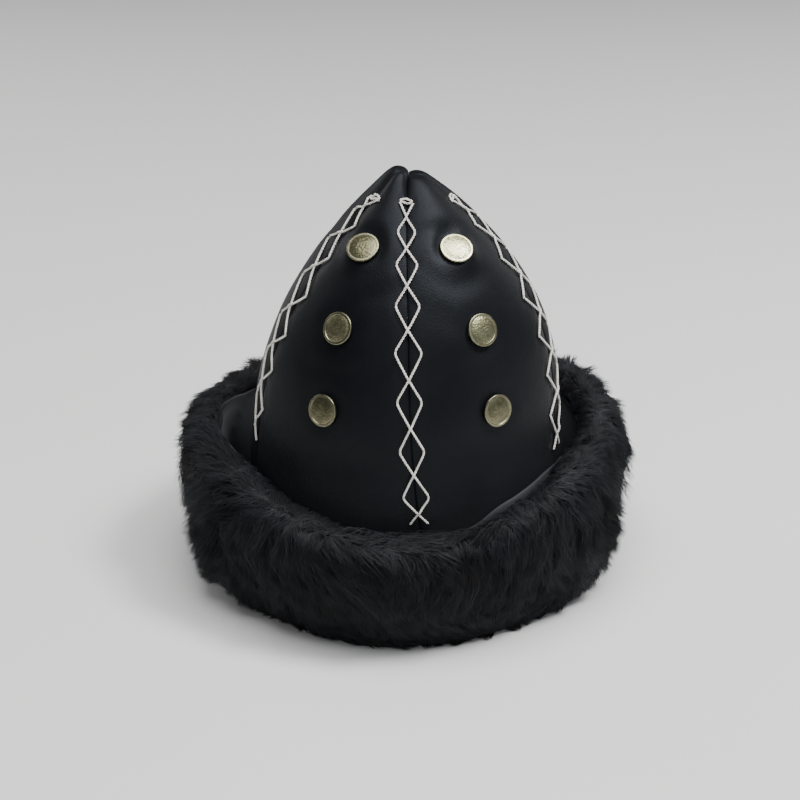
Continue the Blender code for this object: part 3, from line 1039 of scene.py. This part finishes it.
def model_stud():
    """One stud about the origin, its face up: a cap with a rounded rim, and a post and a washer inside."""
    bpy.ops.mesh.primitive_cylinder_add(
        vertices=STUD_SIDES, radius=STUD_RADIUS, depth=STUD_SIDE, location=(0, 0, GAP + STUD_SIDE / 2)
    )
    stud = bpy.context.object
    bpy.ops.object.transform_apply(location=True, rotation=True, scale=True)
    bpy.ops.object.mode_set(mode="EDIT")
    pick_faces(stud, lambda face: face.normal.z > 0.9)
    bpy.ops.mesh.inset(thickness=STUD_RIM)
    bpy.ops.mesh.inset(thickness=STUD_STEP, depth=-STUD_STEP)
    for width, rise in STUD_DOME:
        bpy.ops.mesh.inset(thickness=width, depth=rise)
    pick_faces(stud, lambda face: face.normal.z < -0.9)
    bpy.ops.mesh.inset(thickness=STUD_RADIUS - STUD_POST_RADIUS)
    post_length = GAP + LEATHER + STUD_WASHER_GAP
    extrude_down(post_length)
    extrude_down(0)
    wider = STUD_WASHER_RADIUS / STUD_POST_RADIUS
    bpy.ops.transform.resize(value=(wider, wider, 1), center_override=(0, 0, -post_length))
    extrude_down(STUD_WASHER_THICKNESS)
    past_washer = (STUD_WASHER_RADIUS + STUD_RADIUS) / 2
    pick_faces(stud, lambda face: abs(face.normal.z) < 0.1 and math.hypot(*face.center.xy) > past_washer)
    bpy.ops.mesh.region_to_loop()
    bpy.ops.mesh.bevel(offset=STUD_RIM_ROUND, segments=4, affect="EDGES")
    bpy.ops.mesh.select_all(action="SELECT")
    bpy.ops.mesh.normals_make_consistent(inside=False)
    bpy.ops.object.mode_set(mode="OBJECT")
    points = corners_of(stud)
    from_rim = STUD_RADIUS - np.hypot(points[:, 0], points[:, 1])
    add_share(stud, "rim", ramp(2 - from_rim / STUD_RIM) * (points[:, 2] > GAP))
    bpy.ops.object.shade_smooth_by_angle(angle=math.radians(35))
    return stud


def make_stud(gore, place, pattern, finish):
    """A copy of the pattern stud, on its gore with its face outwards."""
    piece = new_piece(f"brass_stud_{gore.name}_{place.name}", pattern.data.copy())
    piece.data.name = piece.name
    at, outward = stud_ground(gore, place)
    outward = Vector(stud_facing(gore, place, outward))
    side = Vector((0, 0, 1)).cross(outward).normalized()
    turn = Matrix((side, outward.cross(side), outward)).transposed().to_4x4()
    piece.data.transform(Matrix.Translation(Vector(at)) @ turn)
    # Painted light: how brightly this stud is painted as lit
    shine = place.left_shine if gore.stud_from_last else place.right_shine
    add_share(piece, "shine", np.full(len(piece.data.vertices), shine))
    paint(piece, finish)
    hand_over(piece, "brass", f"stud_{gore.name}_{place.name}")


# The fur


def fur_points(turn, along, share=1.0):
    """Points at shares of the fur's depth, of a turn, and of the way from the foot over the crest."""
    sizes = cuff_sizes(turn)
    level, reach = (smooth_through(column, along) for column in zip(*FUR_STATIONS))
    tucked = 1 - sizes.tuck * np.maximum(1 - level, 0)
    depth = np.maximum(reach, 0) * sizes.fur_depth * tucked * share
    height = np.minimum(level, 1) * sizes.rim_height + np.maximum(level - 1, 0) * sizes.crest * share
    radius = facing_radius(sizes, level) + LEATHER + GAP + depth
    return round_crown(sizes.azimuth, radius, np.maximum(height, 0.0))


def fur_frame(turn, along):
    """How points of the fur's outside move with a turn and with the way up, and its outward direction."""
    around = (fur_points(turn + FUR_STEP, along) - fur_points(turn - FUR_STEP, along)) / (2 * FUR_STEP)
    later, earlier = np.minimum(along + FUR_STEP, 1.0), np.maximum(along - FUR_STEP, 0.0)
    upwards = (fur_points(turn, later) - fur_points(turn, earlier)) / (later - earlier)[:, None]
    return around, upwards, unit(np.cross(around, upwards))


def make_hide(finish):
    """The underfur: a closed ring over the facing's outer side, which the hair grows from."""

    def place(turn, along):
        row = np.round(along * HIDE_ROWS)
        outer = fur_points(turn, np.clip(row / HIDE_OUTER_ROWS, 0, 1), HIDE_SHARE)
        sizes = cuff_sizes(turn)
        level = 1 - np.clip((row - HIDE_OUTER_ROWS) / (HIDE_ROWS - HIDE_OUTER_ROWS), 0, 1)
        inner_radius = facing_radius(sizes, level) + LEATHER + GAP
        inner = round_crown(sizes.azimuth, inner_radius, level * sizes.rim_height)
        return np.where((row > HIDE_OUTER_ROWS)[:, None], inner, outer)

    piece = add_sheet("fur_hide", CUFF_COLUMNS, HIDE_ROWS, place)
    bpy.ops.object.shade_smooth()
    paint(piece, finish)
    hand_over(piece, "fur_black", "fur_cuff")


def drifting(luck, turn, along, waves=DRIFT_WAVES):
    """A smooth random field round the cuff."""
    total = np.zeros(len(turn))
    for _ in range(waves):
        around, up = luck.integers(*DRIFT_AROUND), luck.uniform(-DRIFT_UP, DRIFT_UP)
        total += np.sin(math.tau * (around * turn + up * along) + luck.uniform(0, math.tau))
    return total / math.sqrt(waves)


def varied(kind, luck, turn, along):
    """A value that drifts round the cuff and differs from clump to clump."""
    return kind.mean + kind.drift * drifting(luck, turn, along) + luck.normal(0, kind.scatter, len(turn))


def clump_table(luck):
    """Where each clump grows, how it leans aside and down, how far out its tip is, its shade and splay."""
    around, up = (grid.ravel() for grid in np.meshgrid(np.arange(CLUMPS_AROUND), np.arange(CLUMPS_UP)))
    count = around.size
    turn = ((around + luck.uniform(0, 1, count)) / CLUMPS_AROUND) % 1.0
    along = mix(CLUMPS_FROM, CLUMPS_TO, (up + luck.uniform(0, 1, count)) / CLUMPS_UP)
    azimuth = azimuth_of(turn)
    combed = sum(row.lean * bell((azimuth - row.azimuth) / row.half_width) for row in COMBED)
    aside = combed + varied(LEAN_ASIDE, luck, turn, along)
    down = varied(LEAN_DOWN, luck, turn, along)
    crest = ramp(along, CREST_FROM, CREST_TO) * (1 - rim_bareness(turn)[0])
    down = mix(down, CREST_DOWN, crest)
    out = varied(TIP_OUT, luck, turn, along)
    out += STRAY_TUFT_OUT * (luck.uniform(0, 1, count) < STRAY_TUFTS)
    out += LOCK_OUT * drifting(luck, turn * LOCKS_FINER, along, LOCK_WAVES)
    for row in FLUFFED:
        around_place = bell((azimuth - row.azimuth) / row.half_width)
        out += row.out * around_place * bell((along - row.along) / row.half_along)
    # Painted sheen: the clumps of a lock are painted lighter and darker together
    locks = drifting(luck, turn * LOCKS_FINER, along, LOCK_WAVES)
    aside += LOCK_LEAN * locks
    # Painted shade: the hair on the crest is painted darker
    shade = varied(SHADE, luck, turn, along) + LOCK_SHADE * locks - CREST_SHADE * crest
    splay = luck.uniform(0, 1, count) ** 2 * ramp((SPLAY_TO - along) / SPLAY_FADE)
    return turn, along, aside, down, out, np.clip(shade, 0, 1), splay


def hair_table(kind, clumps, luck):
    """Root, bend and tip of every hair of a kind, its shade, its way outwards and its share of a turn."""
    turn, along, aside, down, out, shade, splay = (np.repeat(column, kind.per_clump) for column in clumps)
    count = len(turn)
    spread = luck.uniform(-HAIR_SPREAD, HAIR_SPREAD, (count, 2))
    off_middle = (spread**2).sum(axis=1)
    root_turn = turn + spread[:, 0] / CLUMPS_AROUND
    root_along = along + spread[:, 1] * (CLUMPS_TO - CLUMPS_FROM) / CLUMPS_UP
    root_along = np.clip(root_along, CLUMPS_FROM, CLUMPS_TO)
    root = fur_points(root_turn, root_along, kind.root_share)
    around, upwards, outward = fur_frame(root_turn, root_along)
    aside = aside + luck.normal(0, HAIR_STRAY, count)
    down = down + luck.normal(0, HAIR_STRAY, count)
    lay = kind.lay * luck.uniform(*LAY_RANGE, count)
    tip_turn = mix(root_turn, turn, HAIR_GATHER) + aside * lay / lengths(around)
    tip_along = mix(root_along, along, HAIR_GATHER) - down * lay / lengths(upwards)
    tip_along = np.clip(tip_along, LOWEST_TIP, 1.0)
    crest = ramp(root_along, CREST_FROM, CREST_TO)
    bare = rim_bareness(root_turn)[0]
    tip_share = mix(*kind.tip_shares, luck.uniform(0, 1, count)) + out - TUFT_POINT * off_middle
    tip_share = tip_share - BARE_SHORTENING * crest * bare
    tip = mix(fur_points(tip_turn, tip_along, 0.0), fur_points(tip_turn, tip_along), tip_share[:, None])
    over = crest * (1 - bare) * luck.uniform(*OVER_RIM_RANGE, count)
    from_back = math.tau * root_turn
    inwards = np.stack([np.sin(from_back), -np.cos(from_back), 0 * from_back], axis=-1)
    tip += over[:, None] * (inwards * CREST_LEAN + np.array([0, 0, CREST_RISE]))
    tip -= (FOOT_SPLAY * splay * (1 - off_middle))[:, None] * inwards
    bend = root + outward * (HAIR_BEND * lengths(tip - root))[:, None]
    for points in (root, bend, tip):
        points[:, 2] = np.maximum(points[:, 2], FLOOR_CLEARANCE)
    shade = np.clip(shade + luck.normal(0, HAIR_SHADE_SCATTER, count), 0, 1)
    return root, bend, tip, shade, outward, root_turn


def hair_faces(ring_count):
    """The corners of a hair's faces: the cap at its root, its sides and those that meet at its tip."""
    sides = [(corner, (corner + 1) % HAIR_SIDES) for corner in range(HAIR_SIDES)]
    last = (ring_count - 1) * HAIR_SIDES
    faces = [tuple(reversed(range(HAIR_SIDES)))]
    for low in range(0, last, HAIR_SIDES):
        high = low + HAIR_SIDES
        faces += [(low + corner, low + after, high + after, high + corner) for corner, after in sides]
    return faces + [(last + corner, last + after, last + HAIR_SIDES) for corner, after in sides]


def add_hair(name, kind, hairs, luck, finish):
    """Closed tapered hairs as one mesh, with how far along each corner lies and each hair's shade."""
    root, bend, tip, shade, outward = hairs
    count = len(root)
    centres = [mix(mix(root, bend, share), mix(bend, tip, share), share) for share in (*kind.rings, 1.0)]
    along = unit(centres[-1] - centres[0])
    side = unit(np.cross(along, luck.normal(size=(count, 3))))
    other = np.cross(along, side)
    thickness = kind.radius * luck.uniform(*HAIR_THICKNESS, count)[:, None]
    rings, middles = [], []
    for centre, width in zip(centres, kind.widths):
        for corner in range(HAIR_SIDES):
            angle = math.tau * corner / HAIR_SIDES
            rings.append(centre + thickness * width * (side * math.cos(angle) + other * math.sin(angle)))
            middles.append(centre)
    points = np.stack([*rings, centres[-1]], axis=1)
    own_way = unit(points - np.stack([*middles, centres[0]], axis=1))
    leaning = unit(mix(own_way, outward[:, None, :], NAP))
    points[..., 2] = np.maximum(points[..., 2], FLOOR_CLEARANCE / 2)
    per_hair = points.shape[1]
    faces = hair_faces(len(kind.rings))
    sizes = [len(face) for face in faces]
    hair = np.arange(count)[:, None]
    loops = (np.concatenate(faces) + hair * per_hair).ravel()
    loop_starts = (np.cumsum([0, *sizes[:-1]]) + hair * sum(sizes)).ravel()
    mesh = bpy.data.meshes.new(name)
    mesh.vertices.add(count * per_hair)
    mesh.vertices.foreach_set("co", points.ravel())
    mesh.loops.add(len(loops))
    mesh.loops.foreach_set("vertex_index", loops)
    mesh.polygons.add(len(loop_starts))
    mesh.polygons.foreach_set("loop_start", loop_starts)
    mesh.update(calc_edges=True)
    mesh.shade_smooth()
    mesh.normals_split_custom_set_from_vertices(leaning.reshape(-1, 3))
    piece = new_piece(name, mesh)
    add_share(piece, "along", np.tile([*np.repeat(kind.rings, HAIR_SIDES), 1.0], count))
    add_share(piece, "shade", np.repeat(shade, per_hair))
    paint(piece, finish)
    hand_over(piece, "fur_black")


def make_fur(finish):
    """Wool in a piece for each sector of the cuff, and the guard hairs in one piece."""
    luck = np.random.default_rng(HAIR_SEED)
    clumps = clump_table(luck)
    *wool, turn = hair_table(WOOL, clumps, luck)
    sector = (azimuth_of(turn) - SECTORS_FROM) % FULL_TURN // (FULL_TURN / len(FUR_SECTORS))
    for index, name in enumerate(FUR_SECTORS):
        add_hair(name, WOOL, [column[sector == index] for column in wool], luck, finish)
    add_hair("fur_guard_hairs", GUARD_HAIR, hair_table(GUARD_HAIR, clumps, luck)[:-1], luck, finish)


# The studio


def make_floor():
    bpy.ops.mesh.primitive_plane_add(size=FLOOR_SIZE, location=(0, 0, 0))
    floor = bpy.context.object
    floor.name = "floor"
    paint(floor, Finish("pale_floor").surface({"Base Color": FLOOR_COLOUR, "Roughness": 0.6}))


def make_lights():
    for light in LIGHTS:
        bpy.ops.object.light_add(type="AREA", location=light.place)
        lamp = bpy.context.object
        lamp.name = light.name
        lamp.data.shape = "DISK"
        lamp.data.size = light.size
        lamp.data.energy = light.power
        lamp.data.color = light.colour
        lamp.rotation_euler = (LIGHT_TARGET - Vector(light.place)).to_track_quat("-Z", "Y").to_euler()
    world = bpy.data.worlds.new("studio")
    world.use_nodes = True
    sky = world.node_tree.nodes["Background"]
    sky.inputs["Color"].default_value = (*SKY_COLOUR, 1.0)
    sky.inputs["Strength"].default_value = SKY_STRENGTH
    bpy.context.scene.world = world


def make_camera():
    back = Vector((0, -math.cos(CAMERA_ELEVATION), math.sin(CAMERA_ELEVATION))) * CAMERA_DISTANCE
    bpy.ops.object.camera_add(location=CAMERA_TARGET + back)
    camera = bpy.context.object
    camera.rotation_euler = (math.pi / 2 - CAMERA_ELEVATION - CAMERA_DIP, 0, 0)
    camera.data.lens = CAMERA_LENS
    camera.data.clip_start = CAMERA_NEAREST
    bpy.context.scene.camera = camera


make_camera()
make_floor()
make_lights()

outside = leather_material(CROWN_LEATHER)
inside = leather_material(CROWN_INSIDE)
brass = brass_material()
thread = lace_material()

stud_pattern = model_stud()
for gore in GORES:
    make_gore(gore, outside, inside)
    for place in STUD_PLACES:
        make_stud(gore, place, stud_pattern, brass)
bpy.data.objects.remove(stud_pattern)
for lacing in LACINGS:
    make_lacing(lacing, thread)
make_facing(leather_material(FACING_LEATHER))
make_hide(hide_material())
make_fur(fur_material())
